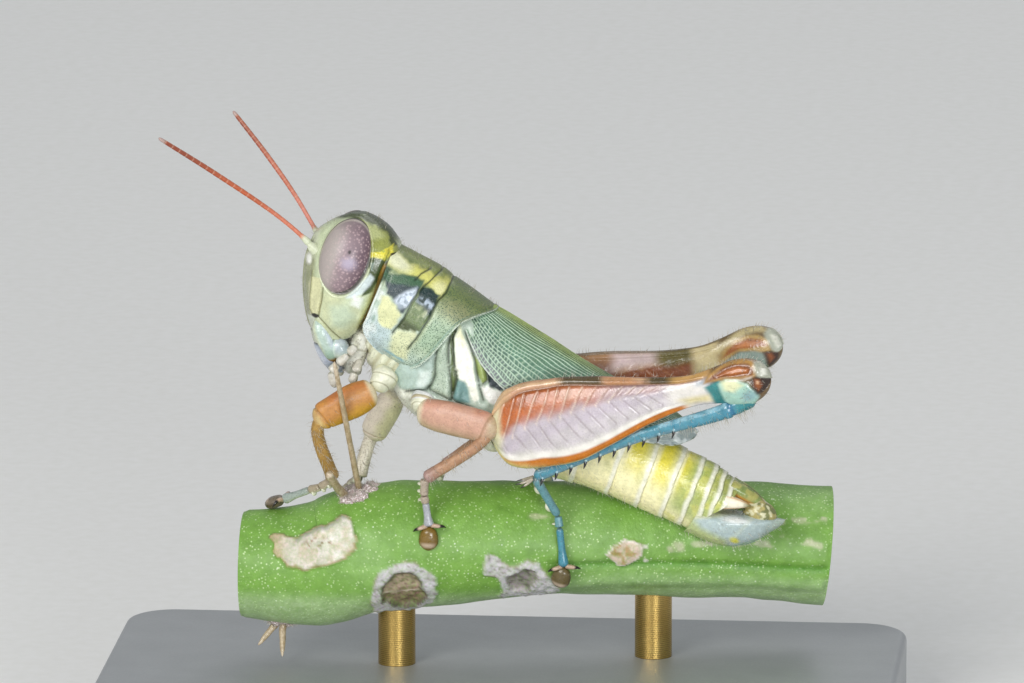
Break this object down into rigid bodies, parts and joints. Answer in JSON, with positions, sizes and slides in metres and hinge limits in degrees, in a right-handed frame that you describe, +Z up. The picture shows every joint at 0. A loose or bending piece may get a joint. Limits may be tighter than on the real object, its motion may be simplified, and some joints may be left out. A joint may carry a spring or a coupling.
{
  "type": "grasshopper model",
  "caption": "Male cactus grasshopper, life size, standing head up on a cut length of slender cactus stem, on a plain flat base with short rods.",
  "frame": {"origin": "centre of the underside of the stand's flat base", "axes": "+Z up, -X towards the insect's head, +X towards its tail, -Y towards its left side"},
  "size_m": [0.032, 0.018, 0.0252],
  "materials": {
    "head_shell": "satin cuticle, sage green with yellow and olive marks",
    "eye": "glossy mauve grey, finely faceted",
    "antenna": "satin orange-pink, ringed",
    "mouthpart": "satin, mint and lilac",
    "palp": "satin cream",
    "pronotum_shell": "satin cuticle, sage green with dark green patches and a yellow stripe",
    "thorax_shell": "satin cuticle, sage, cream and teal with dark seams",
    "soft_cuticle": "soft cream cuticle",
    "wing": "leathery green with pale veins",
    "abdomen_shell": "satin cuticle, cream and yellow with white bands",
    "genital_plate": "pearly blue-grey with a yellow edge",
    "fore_leg": "satin cuticle, orange brown",
    "mid_leg": "satin cuticle, salmon pink",
    "hind_femur": "satin cuticle, rust, lilac and cream with pale ridges",
    "hind_tibia": "satin cuticle, blue with black-tipped spines",
    "tarsus": "satin cuticle, grey lilac, glossy pads",
    "cactus_stem": "waxy green skin with white specks",
    "stand_plate": "pale satin, clear anodised",
    "stand_rod": "turned brass"
  },
  "bodies": {
    "root": {"pronotum": "pronotum_shell", "thorax": "thorax_shell", "prosternum": "soft_cuticle", "abdomen": "abdomen_shell", "tegmen_left": "wing", "tegmen_right": "wing", "supra_anal_plate": "abdomen_shell", "subgenital_plate": "genital_plate", "pallium": "soft_cuticle", "cercus_left": "soft_cuticle", "cercus_right": "soft_cuticle", "head": "head_shell", "eye_left": "eye", "antenna_left": "antenna", "eye_right": "eye", "antenna_right": "antenna", "labrum": "mouthpart", "mandible_left": "mouthpart", "maxilla_left": "mouthpart", "mandible_right": "mouthpart", "maxilla_right": "mouthpart", "labium": "palp", "maxillary_palp_left": "palp", "labial_palp_left": "palp", "maxillary_palp_right": "palp", "labial_palp_right": "palp", "fore_left_coxa": "soft_cuticle", "fore_left_femur": "fore_leg", "fore_left_tibia": "fore_leg", "fore_left_tarsus": "tarsus", "fore_right_coxa": "soft_cuticle", "fore_right_femur": "fore_leg", "fore_right_tibia": "fore_leg", "fore_right_tarsus": "tarsus", "mid_left_coxa": "soft_cuticle", "mid_left_femur": "mid_leg", "mid_left_tibia": "mid_leg", "mid_left_tarsus": "tarsus", "mid_right_coxa": "soft_cuticle", "mid_right_femur": "mid_leg", "mid_right_tibia": "mid_leg", "mid_right_tarsus": "tarsus", "hind_left_coxa": "soft_cuticle", "hind_left_femur": "hind_femur", "hind_left_tibia": "hind_tibia", "hind_left_tarsus": "hind_tibia", "hind_right_coxa": "soft_cuticle", "hind_right_femur": "hind_femur", "hind_right_tibia": "hind_tibia", "hind_right_tarsus": "hind_tibia", "perch_stem": "cactus_stem", "stand_base": "stand_plate", "stand_rod_front": "stand_rod", "stand_rod_rear": "stand_rod"}
  },
  "joints": []
}
